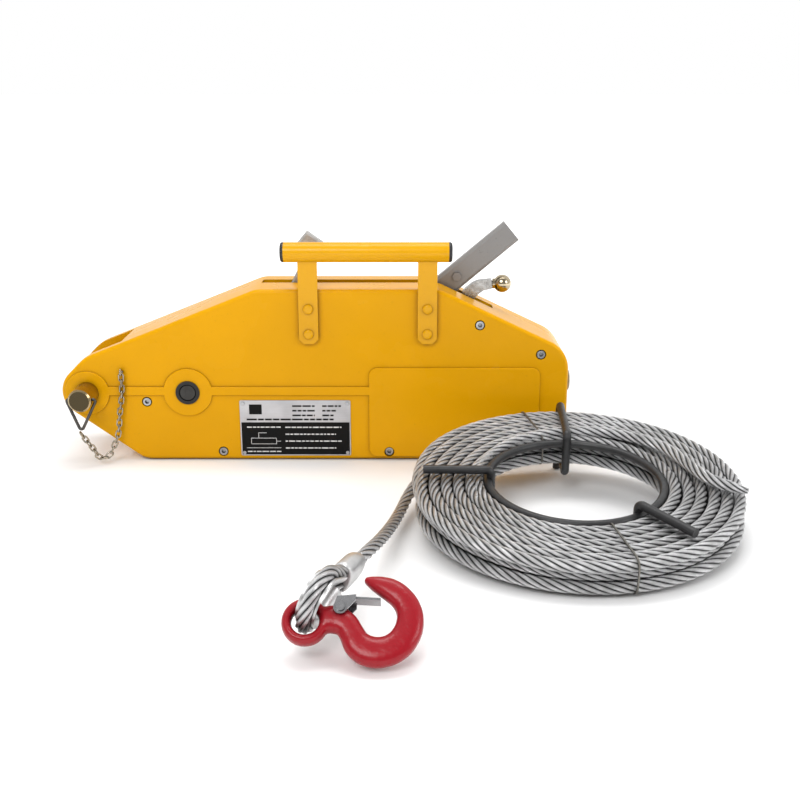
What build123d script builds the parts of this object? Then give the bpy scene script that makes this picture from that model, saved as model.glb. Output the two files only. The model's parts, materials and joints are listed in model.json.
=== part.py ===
from build123d import *
import os
from math import acos, atan2, cos, hypot, pi, radians, sin, tan

# Hand-operated wire rope pulling machine with its rope set, in millimetres.
# +X runs along the machine from the anchor pin to the rope guide, +Z is up, and the
# machine stands on Z = 0.  The jaws, levers and rope guide share the plane Y = MECH_Y.

# ---- driving dimensions -------------------------------------------------------------
FRONT_Y = -42.0            # outer face of the deep casing half
BACK_Y = 42.0              # outer face of the side cover
MECH_Y = 8.0               # joint plane of the casing, and middle plane of the mechanism
WALL = 7.0                 # casing rim wall
PLATE = 6.0                # casing side plate
CASE_TOP = 186.0
CASE_RIGHT = 268.0
ANCHOR_X = -241.5          # anchor pin axis
ANCHOR_Z = 75.5
BOSS_R = 27.7              # rounded end of the casing round the anchor pin
END_WALL_X = -198.0        # inner face of the wall behind the anchor gap
EAR_THICK = 13.0
ROPE_Z = 76.0              # rope line through the jaws and the guide
ROPE_D = 11.0
ROPE_R = ROPE_D / 2
LAND = 2.0                 # height of the raised lands on the front face

LEVER_PIVOT = (48.0, 106.0)
LEVER_REST = 40.0          # degrees above horizontal
LEVER_SWING = 55.0
CRANK_R = 52.0
CRANK_PIN_R = 5.0
PLATE_GAP = 8.5            # from the middle plane to the inner face of a jaw plate
PLATE_T = 4.0
REVERSE_PIVOT = (-30.0, 98.0)
RELEASE_PIVOT = (138.0, 146.0)

COIL_X = 249.0             # rope coil: centre, radii and thickness
COIL_Y = -220.0
COIL_R_OUT = 150.5
COIL_R_IN = 85.0
COIL_T = 31.5
COIL_TILT = 6.4            # degrees, far edge raised on the reel's rear foot

os.makedirs("parts", exist_ok=True)


def save(builder, name):
    """Label a finished piece and write its STEP file."""
    builder.part.label = name
    export_step(builder.part, f"parts/{name}.step")


def at_y(y):
    """Plane facing -Y at the given Y, with local x = X and local y = Z."""
    return Plane.XZ.offset(-y)


def polar(centre, radius, angle):
    return (centre[0] + radius * cos(radians(angle)), centre[1] + radius * sin(radians(angle)))


# ---- casing outline -----------------------------------------------------------------
def slope_z(x):
    """Height of the right-hand slope of the casing top."""
    return CASE_TOP - 0.476 * (x - 131.0)


def casing_sketch(inset=0.0):
    """Side outline of the casing, drawn on XZ and moved inwards by inset."""
    anchor = (ANCHOR_X, ANCHOR_Z)
    shoulder = (-243.0, 113.2)
    top_left = (-60.0, CASE_TOP)
    top_right = (131.0, CASE_TOP)
    right_top = (CASE_RIGHT, slope_z(CASE_RIGHT))
    right_bottom = (CASE_RIGHT, 0.0)
    left_bottom = (-184.8, 0.0)
    rounds = [
        (shoulder, 40), (top_left, 30), (top_right, 22), (right_top, 34), (right_bottom, 8),
        (left_bottom, 22),
    ]
    with BuildSketch(Plane.XZ) as outline:
        with BuildLine():
            Polyline(
                polar(anchor, BOSS_R, 135), shoulder, top_left, top_right, right_top,
                right_bottom, left_bottom, polar(anchor, BOSS_R, 234), close=True,
            )
        make_face()
        for point, radius in rounds:
            fillet(outline.vertices().sort_by_distance((point[0], point[1], 0))[0], radius)
        with Locations(anchor):
            Circle(BOSS_R)
        if inset:
            offset(amount=-inset, kind=Kind.INTERSECTION)
    return outline.sketch_local


CASING = casing_sketch()
CAVITY = casing_sketch(WALL)

SCREWS = [(-179.2, 65.3), (-100.2, 9.5), (78.5, 9.5), (173.4, 148.5), (238.2, 117.0), (247.0, 12.0)]
SCREW_BOSS_R = 6.4         # the boss beside the rope stays below it
SLOT_X = (-58.0, 190.0)    # lever slot through the top wall
SLOT_HALF = 9.0
SCREW_R = 2.5
SCREW_HEAD_R = 4.2
SCREW_SINK = 7.0           # depth of the counterbore below the lands
NUT_FLAT_R = 4.0
NUT_T = 4.0
GUIDE_HOLE_R = 12.0
EXIT_HOLE_R = 9.0
PIN_R = 12.0
RUN_CLEAR = 0.05           # radial clearance of a running fit
BUSH_R = 13.0
STUD_X = -135.0
STUD_HOLE_R = 11.0
SHAFT_R = 9.0
SMALL_SHAFT_R = 6.0
PIVOTS = [(REVERSE_PIVOT, SMALL_SHAFT_R), (RELEASE_PIVOT, SMALL_SHAFT_R)]
EYE_HOLE = (-203.5, 99.0)  # eye screw that holds the retaining chain
EYE_SHANK_R = 1.6
PANEL_X = (57.0, 238.0)    # raised panel on the front face
PANEL_TOP = 103.0
STRAP_X = (-5.0, 118.4)    # carry handle straps
RIVET_Z = (166.5, 140.0)
RIVET_R = 3.0
BOSS_DEPTH = {FRONT_Y: 12.0, BACK_Y: 8.0}


def casing_half(outer_y):
    """One casing half, from its outer side plate at outer_y to the joint plane."""
    depth = abs(MECH_Y - outer_y)
    inward = -1 if outer_y < MECH_Y else 1
    boss = BOSS_DEPTH[outer_y]
    inner_y = outer_y - inward * PLATE
    with BuildPart() as half:
        with BuildSketch(at_y(outer_y)):
            add(CASING)
        extrude(amount=inward * depth)
        plate_face = half.faces().sort_by(Axis.Y)[0 if inward < 0 else -1]
        fillet(plate_face.outer_wire().edges(), 4.0)
        # hollow, with a boss left round each screw
        with BuildSketch(at_y(inner_y)):
            add(CAVITY)
            with Locations((-270.0, ANCHOR_Z)):
                Rectangle(2 * (END_WALL_X + 270.0), 200.0, mode=Mode.SUBTRACT)
            for spot in SCREWS:
                with Locations(spot):
                    Circle(SCREW_BOSS_R, mode=Mode.SUBTRACT)
        extrude(amount=inward * (depth - PLATE), mode=Mode.SUBTRACT)
        # gap between the two ears for an anchor hook
        with BuildSketch(at_y(outer_y - inward * EAR_THICK)):
            with Locations((END_WALL_X - WALL - 55.0, ANCHOR_Z)):
                Rectangle(110.0, 130.0)
        extrude(amount=inward * (depth - EAR_THICK), mode=Mode.SUBTRACT)
        # pivot bosses on the inside of the plate, and their seats
        with BuildSketch(at_y(inner_y)):
            with Locations(LEVER_PIVOT):
                Circle(BUSH_R + 6.0)
            for spot, radius in PIVOTS:
                with Locations(spot):
                    Circle(radius + 6.0)
        extrude(amount=inward * boss)
        with BuildSketch(at_y(outer_y - inward * (PLATE - 2.0))):
            with Locations(LEVER_PIVOT):
                Circle(BUSH_R)
            for spot, radius in PIVOTS:
                with Locations(spot):
                    Circle(radius + RUN_CLEAR)
        extrude(amount=inward * (boss + 2.0), mode=Mode.SUBTRACT)
        # anchor pin, stud and screw holes, straight through
        with BuildSketch(at_y(outer_y)):
            with Locations((ANCHOR_X, ANCHOR_Z)):
                Circle(PIN_R + RUN_CLEAR)
            with Locations((STUD_X, ROPE_Z)):
                Circle(STUD_HOLE_R)
            for spot in SCREWS:
                with Locations(spot):
                    Circle(SCREW_R + 0.1)
        extrude(amount=inward * depth, mode=Mode.SUBTRACT)
        # rope guide hole in the right wall, rope exit in the wall behind the anchor gap
        for x, radius in ((CASE_RIGHT - WALL / 2, GUIDE_HOLE_R), (END_WALL_X - WALL / 2, EXIT_HOLE_R)):
            with BuildSketch(Plane.YZ.offset(x - 10.0)):
                with Locations((MECH_Y, ROPE_Z)):
                    Circle(radius)
            extrude(amount=20.0, mode=Mode.SUBTRACT)
        # lever slot in the top wall
        with BuildSketch(Plane.XY.offset(145.0)):
            with Locations((sum(SLOT_X) / 2, MECH_Y)):
                Rectangle(SLOT_X[1] - SLOT_X[0], 2 * SLOT_HALF)
        extrude(amount=60.0, mode=Mode.SUBTRACT)
    return half


# ---- deep casing half (front), with its raised lands ------------------------------------
with BuildPart() as lands:
    with BuildSketch(at_y(FRONT_Y)):
        with Locations((ANCHOR_X, ANCHOR_Z)):
            Circle(BOSS_R - 4.2)
        with Locations((STUD_X, ROPE_Z)):
            Circle(26.0)
        with Locations(((PANEL_X[0] + ANCHOR_X) / 2, ROPE_Z + 1.4)):
            Rectangle(PANEL_X[0] + 4.0 - ANCHOR_X, 9.6)
        with Locations((sum(PANEL_X) / 2, PANEL_TOP / 2 + 2.0)):
            RectangleRounded(PANEL_X[1] - PANEL_X[0], PANEL_TOP - 4.0, 9.0)
    extrude(amount=LAND)
    fillet(lands.faces().sort_by(Axis.Y)[0].outer_wire().edges(), 1.2)
    with BuildSketch(at_y(FRONT_Y)):
        with Locations((ANCHOR_X, ANCHOR_Z)):
            Circle(PIN_R + RUN_CLEAR)
        with Locations((STUD_X, ROPE_Z)):
            Circle(STUD_HOLE_R)
    extrude(amount=LAND, mode=Mode.SUBTRACT)

with BuildPart() as main_casing:
    add(casing_half(FRONT_Y).part)
    add(lands.part)
    with BuildSketch(at_y(FRONT_Y - LAND)):
        for spot in SCREWS:
            with Locations(spot):
                Circle(SCREW_HEAD_R + 1.2)
    extrude(amount=-SCREW_SINK, mode=Mode.SUBTRACT)
    with BuildSketch(at_y(FRONT_Y)):
        for x in STRAP_X:
            with Locations((x, RIVET_Z[0]), (x, RIVET_Z[1])):
                Circle(RIVET_R)
        with Locations(EYE_HOLE):
            Circle(EYE_SHANK_R)
    extrude(amount=-PLATE, mode=Mode.SUBTRACT)
save(main_casing, "main_casing")

# ---- side cover (back) ---------------------------------------------------------------------
with BuildPart() as side_cover:
    add(casing_half(BACK_Y).part)
    with BuildSketch(at_y(BACK_Y)):
        for spot in SCREWS:
            with Locations(spot):
                RegularPolygon(NUT_FLAT_R + 0.6, 6, major_radius=False)
    extrude(amount=NUT_T, mode=Mode.SUBTRACT)
save(side_cover, "side_cover")

# ---- casing screws and nuts -------------------------------------------------------------
head_y = FRONT_Y - LAND + SCREW_SINK
with BuildPart() as casing_screws:
    with BuildSketch(at_y(head_y)):
        for spot in SCREWS:
            with Locations(spot):
                Circle(SCREW_HEAD_R)
    extrude(amount=5.0)
    with BuildSketch(at_y(head_y)):
        for spot in SCREWS:
            with Locations(spot):
                Circle(SCREW_R)
    extrude(amount=-(BACK_Y - 1.0 - head_y))
    with BuildSketch(at_y(head_y - 2.0)):
        for spot in SCREWS:
            with Locations(spot):
                RegularPolygon(2.2, 6, major_radius=False)
    extrude(amount=3.0, mode=Mode.SUBTRACT)
save(casing_screws, "casing_screws")

with BuildPart() as casing_nuts:
    with BuildSketch(at_y(BACK_Y)):
        for spot in SCREWS:
            with Locations(spot):
                RegularPolygon(NUT_FLAT_R, 6, major_radius=False)
                Circle(SCREW_R, mode=Mode.SUBTRACT)
    extrude(amount=NUT_T)
save(casing_nuts, "casing_nuts")

# ---- nameplate ----------------------------------------------------------------------------
PLATE_X = (-80.9, 37.2)
PLATE_Z = (5.0, 67.0)
plate_mid = ((PLATE_X[0] + PLATE_X[1]) / 2, (PLATE_Z[0] + PLATE_Z[1]) / 2)
plate_size = (PLATE_X[1] - PLATE_X[0], PLATE_Z[1] - PLATE_Z[0])
with BuildPart() as nameplate:
    with BuildSketch(at_y(FRONT_Y)):
        with Locations(plate_mid):
            RectangleRounded(plate_size[0], plate_size[1], 1.5)
            with GridLocations(plate_size[0] - 7.0, plate_size[1] - 7.0, 2, 2):
                Circle(1.2, mode=Mode.SUBTRACT)
    extrude(amount=0.6)
save(nameplate, "nameplate")

with BuildPart() as nameplate_rivets:
    with BuildSketch(at_y(FRONT_Y)):
        with Locations(plate_mid):
            with GridLocations(plate_size[0] - 7.0, plate_size[1] - 7.0, 2, 2):
                Circle(1.1)
    extrude(amount=0.7)
    with BuildSketch(at_y(FRONT_Y - 0.6)):
        with Locations(plate_mid):
            with GridLocations(plate_size[0] - 7.0, plate_size[1] - 7.0, 2, 2):
                Circle(1.9)
    extrude(amount=0.8)
save(nameplate_rivets, "nameplate_rivets")

# ---- carry handle ---------------------------------------------------------------------------
TUBE_X = (-29.0, 140.0)
TUBE_Y = -42.0
TUBE_Z = 225.0
TUBE_R = 10.3
STRAP_W = 20.0
STRAP_T = 4.5
STRAP_LOW = 129.5

with BuildPart() as handle_straps:
    for x in STRAP_X:
        with BuildSketch(at_y(FRONT_Y)):
            with BuildLine():
                Polyline(
                    (x - STRAP_W / 2, TUBE_Z + 4.0), (x - STRAP_W / 2, STRAP_LOW + 5.0),
                    (x - STRAP_W / 2 + 5.0, STRAP_LOW), (x + STRAP_W / 2 - 5.0, STRAP_LOW),
                    (x + STRAP_W / 2, STRAP_LOW + 5.0), (x + STRAP_W / 2, TUBE_Z + 4.0), close=True,
                )
            make_face()
        extrude(amount=STRAP_T)
    with BuildSketch(Plane.YZ.offset(TUBE_X[0])):
        with Locations((TUBE_Y, TUBE_Z)):
            Circle(TUBE_R)
    extrude(amount=TUBE_X[1] - TUBE_X[0], mode=Mode.SUBTRACT)
    with BuildSketch(at_y(FRONT_Y)):
        for x in STRAP_X:
            with Locations((x, RIVET_Z[0]), (x, RIVET_Z[1])):
                Circle(3.0)
    extrude(amount=STRAP_T, mode=Mode.SUBTRACT)
save(handle_straps, "handle_straps")

with BuildPart() as carry_tube:
    with BuildSketch(Plane.YZ.offset(TUBE_X[0])):
        with Locations((TUBE_Y, TUBE_Z)):
            Circle(TUBE_R)
            Circle(TUBE_R - 2.0, mode=Mode.SUBTRACT)
    extrude(amount=TUBE_X[1] - TUBE_X[0])
save(carry_tube, "carry_tube")

with BuildPart() as tube_caps:
    for x, way in ((TUBE_X[0], -1), (TUBE_X[1], 1)):
        with BuildSketch(Plane.YZ.offset(x)):
            with Locations((TUBE_Y, TUBE_Z)):
                Circle(TUBE_R)
        extrude(amount=3.6 * way)
        with BuildSketch(Plane.YZ.offset(x)):
            with Locations((TUBE_Y, TUBE_Z)):
                Circle(TUBE_R - 2.0)
        extrude(amount=-12.0 * way)
    outer = tube_caps.edges().filter_by(GeomType.CIRCLE).sort_by(Axis.X)
    fillet([outer[0], outer[-1]], 2.6)
save(tube_caps, "tube_caps")

with BuildPart() as handle_rivets:
    for x in STRAP_X:
        for z in RIVET_Z:
            with BuildSketch(at_y(FRONT_Y + PLATE)):
                with Locations((x, z)):
                    Circle(3.0)
            extrude(amount=PLATE + STRAP_T)
            with BuildSketch(at_y(FRONT_Y + PLATE)):
                with Locations((x, z)):
                    Circle(5.0)
            extrude(amount=-2.0)
            with BuildSketch(at_y(FRONT_Y - STRAP_T)):
                with Locations((x, z)):
                    Circle(5.3)
            extrude(amount=3.0)
    domes = handle_rivets.edges().filter_by(GeomType.CIRCLE).group_by(Axis.Y)[0]
    fillet(domes, 2.7)
save(handle_rivets, "handle_rivets")

# ---- rope guide --------------------------------------------------------------------------
GUIDE_BORE_R = 6.5
with BuildPart() as rope_guide:
    with BuildSketch(Plane.XZ.offset(-MECH_Y)):
        with BuildLine():
            Polyline(
                (CASE_RIGHT - 15.0, ROPE_Z + GUIDE_BORE_R), (CASE_RIGHT + 8.0, ROPE_Z + GUIDE_BORE_R),
                (CASE_RIGHT + 8.0, ROPE_Z + 10.2), (CASE_RIGHT + 6.2, ROPE_Z + 12.6),
                (CASE_RIGHT, ROPE_Z + 12.6), (CASE_RIGHT, ROPE_Z + GUIDE_HOLE_R),
                (CASE_RIGHT - WALL, ROPE_Z + GUIDE_HOLE_R), (CASE_RIGHT - WALL, ROPE_Z + 15.0),
                (CASE_RIGHT - 11.0, ROPE_Z + 15.0), (CASE_RIGHT - 15.0, ROPE_Z + 11.0), close=True,
            )
        make_face()
    revolve(axis=Axis((0, MECH_Y, ROPE_Z), (1, 0, 0)), revolution_arc=360)
    mouth = rope_guide.edges().filter_by(GeomType.CIRCLE).sort_by(Axis.X)[-2:]
    chamfer(mouth.sort_by(SortBy.RADIUS)[0], 1.5)
save(rope_guide, "rope_guide")

# ---- anchor pin, clip, chain -----------------------------------------------------------------
PIN_FRONT = FRONT_Y - LAND - 31.0
PIN_BACK = BACK_Y
CLIP_Y = PIN_FRONT + 8.0
with BuildPart() as anchor_pin:
    with BuildSketch(at_y(PIN_BACK)):
        with Locations((ANCHOR_X, ANCHOR_Z)):
            Circle(PIN_R)
    extrude(amount=PIN_BACK - PIN_FRONT)
    chamfer(anchor_pin.edges().filter_by(GeomType.CIRCLE).sort_by(Axis.Y)[0], 1.6)
    with BuildSketch(at_y(PIN_BACK)):
        with Locations((ANCHOR_X, ANCHOR_Z)):
            Circle(17.0)
    extrude(amount=-7.0)
    chamfer(anchor_pin.edges().filter_by(GeomType.CIRCLE).sort_by(Axis.Y)[-1], 1.5)
    with BuildSketch(Plane.YZ.offset(ANCHOR_X - 20.0)):
        with Locations((CLIP_Y, ANCHOR_Z)):
            Circle(1.8)
    extrude(amount=40.0, mode=Mode.SUBTRACT)
save(anchor_pin, "anchor_pin")

CLIP_WIRE_R = 1.6
CLIP_APEX = (ANCHOR_X - 2.5, CLIP_Y, ANCHOR_Z - 36.0)
with BuildPart() as spring_clip:
    with BuildLine() as clip_path:
        FilletPolyline(
            (ANCHOR_X - 8.0, CLIP_Y, ANCHOR_Z), (ANCHOR_X - 16.0, CLIP_Y, ANCHOR_Z),
            (CLIP_APEX[0], CLIP_Y, CLIP_APEX[2]), (ANCHOR_X + 16.0, CLIP_Y, ANCHOR_Z),
            (ANCHOR_X + 8.0, CLIP_Y, ANCHOR_Z), radius=2.4,
        )
    with BuildSketch(Plane.YZ.offset(ANCHOR_X - 8.0)):
        with Locations((CLIP_Y, ANCHOR_Z)):
            Circle(CLIP_WIRE_R)
    sweep()
save(spring_clip, "spring_clip")

EYE_WIRE_R = 1.0
EYE_RING_R = 3.2
EYE_FRONT = FRONT_Y - 2.0 - EYE_RING_R
with BuildPart() as chain_eye:
    with BuildSketch(at_y(FRONT_Y + PLATE)):
        with Locations(EYE_HOLE):
            Circle(EYE_SHANK_R)
    extrude(amount=PLATE + 2.0)
    with Locations((EYE_HOLE[0], EYE_FRONT, EYE_HOLE[1])):
        Torus(EYE_RING_R, EYE_WIRE_R, rotation=(0, 90, 0))
save(chain_eye, "chain_eye")

LINK_WIRE_R = 0.85
LINK_LENGTH = 10.0
LINK_WIDTH = 6.6
LINK_PITCH = 6.3
with BuildLine(mode=Mode.PRIVATE) as chain_curve:
    Spline(
        (CLIP_APEX[0] + 0.4, CLIP_Y, CLIP_APEX[2] - 3.2), (-235.0, -62.0, 20.0), (-226.0, -57.0, 7.0),
        (-213.0, -51.0, 24.0), (-207.0, -48.5, 56.0), (EYE_HOLE[0] - 0.2, EYE_FRONT, EYE_HOLE[1] - 20.0),
        (EYE_HOLE[0], EYE_FRONT, EYE_HOLE[1] - 5.5),
    )
chain_line = chain_curve.edges()[0]
link_count = int(chain_line.length / LINK_PITCH) + 1
with BuildPart() as retaining_chain:
    for index in range(link_count + 1):
        centre = chain_line.position_at(index / link_count)
        heading = chain_line.tangent_at(index / link_count)
        broad = (Vector(0, 1, 0) - heading * heading.Y).normalized()
        if (link_count - index) % 2:
            broad = heading.cross(broad)
        frame = Plane(origin=centre, x_dir=heading, z_dir=broad)
        straight = LINK_LENGTH - LINK_WIDTH
        bend = LINK_WIDTH / 2 - LINK_WIRE_R
        with BuildLine(frame) as link_path:
            Line((-straight / 2, bend), (straight / 2, bend))
            ThreePointArc((straight / 2, bend), (straight / 2 + bend, 0), (straight / 2, -bend))
            Line((straight / 2, -bend), (-straight / 2, -bend))
            ThreePointArc((-straight / 2, -bend), (-straight / 2 - bend, 0), (-straight / 2, bend))
        start = frame.from_local_coords((0, bend, 0))
        with BuildSketch(Plane(origin=start, z_dir=heading)):
            Circle(LINK_WIRE_R)
        sweep(path=link_path.wire(), mode=Mode.ADD)
save(retaining_chain, "retaining_chain")

# ---- studs in the round boss, with their black rings ------------------------------------------
with BuildPart() as side_studs:
    with BuildSketch(at_y(FRONT_Y + 12.0)):
        with Locations((STUD_X, ROPE_Z)):
            Circle(9.0)
    extrude(amount=12.0 + LAND + 0.6)
    with BuildSketch(at_y(BACK_Y - 12.0)):
        with Locations((STUD_X, ROPE_Z)):
            Circle(9.0)
    extrude(amount=-12.6)
    ends = side_studs.edges().filter_by(GeomType.CIRCLE).sort_by(Axis.Y)
    chamfer([ends[0], ends[-1]], 1.0)
save(side_studs, "side_studs")

with BuildPart() as stud_rings:
    with BuildSketch(at_y(FRONT_Y + 6.0)):
        with Locations((STUD_X, ROPE_Z)):
            Circle(STUD_HOLE_R)
            Circle(9.0, mode=Mode.SUBTRACT)
    extrude(amount=6.0 + LAND)
    with BuildSketch(at_y(FRONT_Y - LAND)):
        with Locations((STUD_X, ROPE_Z)):
            Circle(12.6)
            Circle(9.0, mode=Mode.SUBTRACT)
    extrude(amount=1.2)
    with BuildSketch(at_y(BACK_Y - 6.0)):
        with Locations((STUD_X, ROPE_Z)):
            Circle(STUD_HOLE_R)
            Circle(9.0, mode=Mode.SUBTRACT)
    extrude(amount=-7.2)
save(stud_rings, "stud_rings")

# ---- forward lever with its crank ---------------------------------------------------------------
LEVER_HALF_T = 7.0
LEVER_W = 25.0
SHEAR_PIN_REACH = 134.0
LEVER_TIP = 209.0          # from the pivot
CHEEK_GAP = 13.3           # from the middle plane to the inner face of a crank cheek
CHEEK_T = 4.0
lower_crank = polar(LEVER_PIVOT, CRANK_R, -90.0 - LEVER_SWING / 2)
upper_crank = polar(LEVER_PIVOT, CRANK_R, 90.0 - LEVER_SWING / 2)
lever_plane = Plane(
    origin=(LEVER_PIVOT[0], MECH_Y, LEVER_PIVOT[1]),
    x_dir=(cos(radians(LEVER_REST)), 0, sin(radians(LEVER_REST))), z_dir=(0, -1, 0),
)
with BuildPart() as forward_lever:
    with BuildSketch(lever_plane.offset(-LEVER_HALF_T)):
        with Locations((LEVER_TIP / 2 + 10.0, 0)):
            Rectangle(LEVER_TIP - 20.0, LEVER_W)
    extrude(amount=2 * LEVER_HALF_T)
    long_edges = forward_lever.edges().filter_by(Axis(lever_plane.origin, lever_plane.x_dir))
    chamfer(long_edges, 3.0)
    with BuildSketch(at_y(MECH_Y + LEVER_HALF_T)):
        with Locations(LEVER_PIVOT):
            Circle(21.0)
    extrude(amount=2 * LEVER_HALF_T)
    with BuildSketch(at_y(MECH_Y + LEVER_HALF_T)):
        with Locations(LEVER_PIVOT):
            Circle(SHAFT_R)
        with Locations(polar(LEVER_PIVOT, SHEAR_PIN_REACH, LEVER_REST)):
            Circle(3.0)
    extrude(amount=2 * LEVER_HALF_T, mode=Mode.SUBTRACT)
    # socket in the lever's end for the operating tube's tongue
    with BuildSketch(lever_plane.offset(-4.0)):
        with Locations((LEVER_TIP - 20.0, 0)):
            Rectangle(40.0, 17.0)
    extrude(amount=8.0, mode=Mode.SUBTRACT)
save(forward_lever, "forward_lever")

# the crank's two cheeks stand outside the jaw plates, so the rope passes between them
with BuildPart() as crank_cheeks:
    for inner_face, way in ((MECH_Y - CHEEK_GAP, 1), (MECH_Y + CHEEK_GAP, -1)):
        with BuildSketch(at_y(inner_face)):
            with BuildLine():
                Polyline(
                    polar(lower_crank, 10.5, 152.5), polar(upper_crank, 10.5, 152.5),
                    polar(upper_crank, 10.5, -27.5), polar(lower_crank, 10.5, -27.5), close=True,
                )
            make_face()
            with Locations(lower_crank, upper_crank):
                Circle(10.5)
            with Locations(LEVER_PIVOT):
                Circle(17.0)
                Circle(SHAFT_R, mode=Mode.SUBTRACT)
            with Locations(lower_crank, upper_crank):
                Circle(CRANK_PIN_R, mode=Mode.SUBTRACT)
        extrude(amount=CHEEK_T * way)
save(crank_cheeks, "crank_cheeks")

with BuildPart() as lever_shaft:
    with BuildSketch(at_y(BACK_Y - PLATE + 1.0)):
        with Locations(LEVER_PIVOT):
            Circle(SHAFT_R)
    extrude(amount=BACK_Y - FRONT_Y - 2 * PLATE + 2.0)
save(lever_shaft, "lever_shaft")

with BuildPart() as shaft_bushes:
    with BuildSketch(at_y(FRONT_Y + PLATE + 12.0)):
        with Locations(LEVER_PIVOT):
            Circle(BUSH_R)
            Circle(SHAFT_R + 0.05, mode=Mode.SUBTRACT)
    extrude(amount=14.0)
    with BuildSketch(at_y(BACK_Y - PLATE - 8.0)):
        with Locations(LEVER_PIVOT):
            Circle(BUSH_R)
            Circle(SHAFT_R + 0.05, mode=Mode.SUBTRACT)
    extrude(amount=-10.0)
save(shaft_bushes, "shaft_bushes")

with BuildPart() as crank_pins:
    with BuildSketch(at_y(MECH_Y + CHEEK_GAP + CHEEK_T)):
        with Locations(lower_crank, upper_crank):
            Circle(CRANK_PIN_R)
    extrude(amount=2 * (CHEEK_GAP + CHEEK_T))
save(crank_pins, "crank_pins")

with BuildPart() as shear_pin:
    head = polar(LEVER_PIVOT, SHEAR_PIN_REACH, LEVER_REST)
    with BuildSketch(at_y(MECH_Y + LEVER_HALF_T)):
        with Locations(head):
            Circle(3.0)
    extrude(amount=2 * LEVER_HALF_T)
    with BuildSketch(at_y(MECH_Y - LEVER_HALF_T)):
        with Locations(head):
            RegularPolygon(5.0, 6)
    extrude(amount=1.6)
save(shear_pin, "shear_pin")

# ---- jaw sets --------------------------------------------------------------------------------------
JAW_LENGTH = 62.0
JAW_HALF_W = 8.0
JAW_PIN_R = 3.0
JAW_LIFT = 2.4
LOWER_JAW_Z = (ROPE_Z - 19.0, ROPE_Z - 0.5)
UPPER_JAW_Z = (ROPE_Z + 0.5, ROPE_Z + 19.0)
SLOT_CLEAR = 0.8
REAR_JAW_X = -116.0
FRONT_JAW_X = 124.0


def jaw_plate_sketch(side):
    """Outline of one connecting plate: crank slot at one end, jaw pin holes at the other."""
    front = side == "front"
    x0 = FRONT_JAW_X if front else REAR_JAW_X
    with BuildSketch(Plane.XZ) as outline:
        with Locations((x0 + JAW_LENGTH / 2, ROPE_Z)):
            RectangleRounded(JAW_LENGTH + 8.0, 38.0, 5.0)
        if front:
            with Locations(((lower_crank[0] - 11.0 + x0 + 20.0) / 2, 57.0)):
                RectangleRounded(x0 + 31.0 - lower_crank[0], 31.0, 5.0)
        else:
            jaw_end = x0 + JAW_LENGTH
            crank_end = upper_crank[0] + 11.0
            with BuildLine():
                Polyline(
                    (jaw_end - 24.0, 80.0), (jaw_end - 24.0, 116.0), (crank_end - 24.0, 171.0),
                    (crank_end, 171.0), (crank_end, 139.5), (crank_end - 22.0, 139.5),
                    (jaw_end + 2.0, 102.0), (jaw_end + 2.0, 80.0), close=True,
                )
            make_face()
        crank = lower_crank if front else upper_crank
        slot_z = LEVER_PIVOT[1] + (CRANK_R - 2.9) * (-1 if front else 1)
        with Locations((crank[0], slot_z)):
            slot_r = CRANK_PIN_R + SLOT_CLEAR
            SlotOverall(2 * slot_r + 7.5, 2 * slot_r, rotation=90, mode=Mode.SUBTRACT)
        for x in (x0 + 14.0, x0 + JAW_LENGTH - 14.0):
            with Locations((x, ROPE_Z - 12.0)):
                Circle(JAW_PIN_R, mode=Mode.SUBTRACT)
            with Locations((x, ROPE_Z + 12.0 + JAW_LIFT / 2)):
                SlotOverall(2 * JAW_PIN_R + JAW_LIFT + 0.8, 2 * JAW_PIN_R + 0.3, rotation=90, mode=Mode.SUBTRACT)
    return outline.sketch_local


def jaw_block(x0, z_range, pin_z, groove_z):
    """One jaw: a block with a half-round rope groove and two pin holes."""
    with BuildPart() as block:
        with BuildSketch(at_y(MECH_Y + JAW_HALF_W)):
            with Locations((x0 + JAW_LENGTH / 2, (z_range[0] + z_range[1]) / 2)):
                Rectangle(JAW_LENGTH, z_range[1] - z_range[0])
            with Locations((x0 + 14.0, pin_z), (x0 + JAW_LENGTH - 14.0, pin_z)):
                Circle(JAW_PIN_R, mode=Mode.SUBTRACT)
        extrude(amount=2 * JAW_HALF_W)
        with BuildSketch(Plane.YZ.offset(x0)):
            with Locations((MECH_Y, groove_z)):
                Circle(ROPE_R + 0.2)
        extrude(amount=JAW_LENGTH, mode=Mode.SUBTRACT)
    return block


def jaw_pins(x0, pin_z):
    with BuildPart() as pins:
        with BuildSketch(at_y(MECH_Y + PLATE_GAP + PLATE_T + 1.0)):
            with Locations((x0 + 14.0, pin_z), (x0 + JAW_LENGTH - 14.0, pin_z)):
                Circle(JAW_PIN_R)
        extrude(amount=2 * (PLATE_GAP + PLATE_T + 1.0))
    return pins


for side, x0 in (("front", FRONT_JAW_X), ("rear", REAR_JAW_X)):
    plate_outline = jaw_plate_sketch(side)
    with BuildPart() as jaw_plates:
        with BuildSketch(at_y(MECH_Y - PLATE_GAP)):
            add(plate_outline)
        extrude(amount=PLATE_T)
        with BuildSketch(at_y(MECH_Y + PLATE_GAP)):
            add(plate_outline)
        extrude(amount=-PLATE_T)
    save(jaw_plates, f"{side}_jaw_plates")
    save(jaw_block(x0, LOWER_JAW_Z, ROPE_Z - 12.0, ROPE_Z), f"{side}_lower_jaw")
    save(jaw_block(x0, UPPER_JAW_Z, ROPE_Z + 12.0, ROPE_Z), f"{side}_upper_jaw")
    save(jaw_pins(x0, ROPE_Z - 12.0), f"{side}_lower_jaw_pins")
    save(jaw_pins(x0, ROPE_Z + 12.0), f"{side}_upper_jaw_pins")

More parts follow.
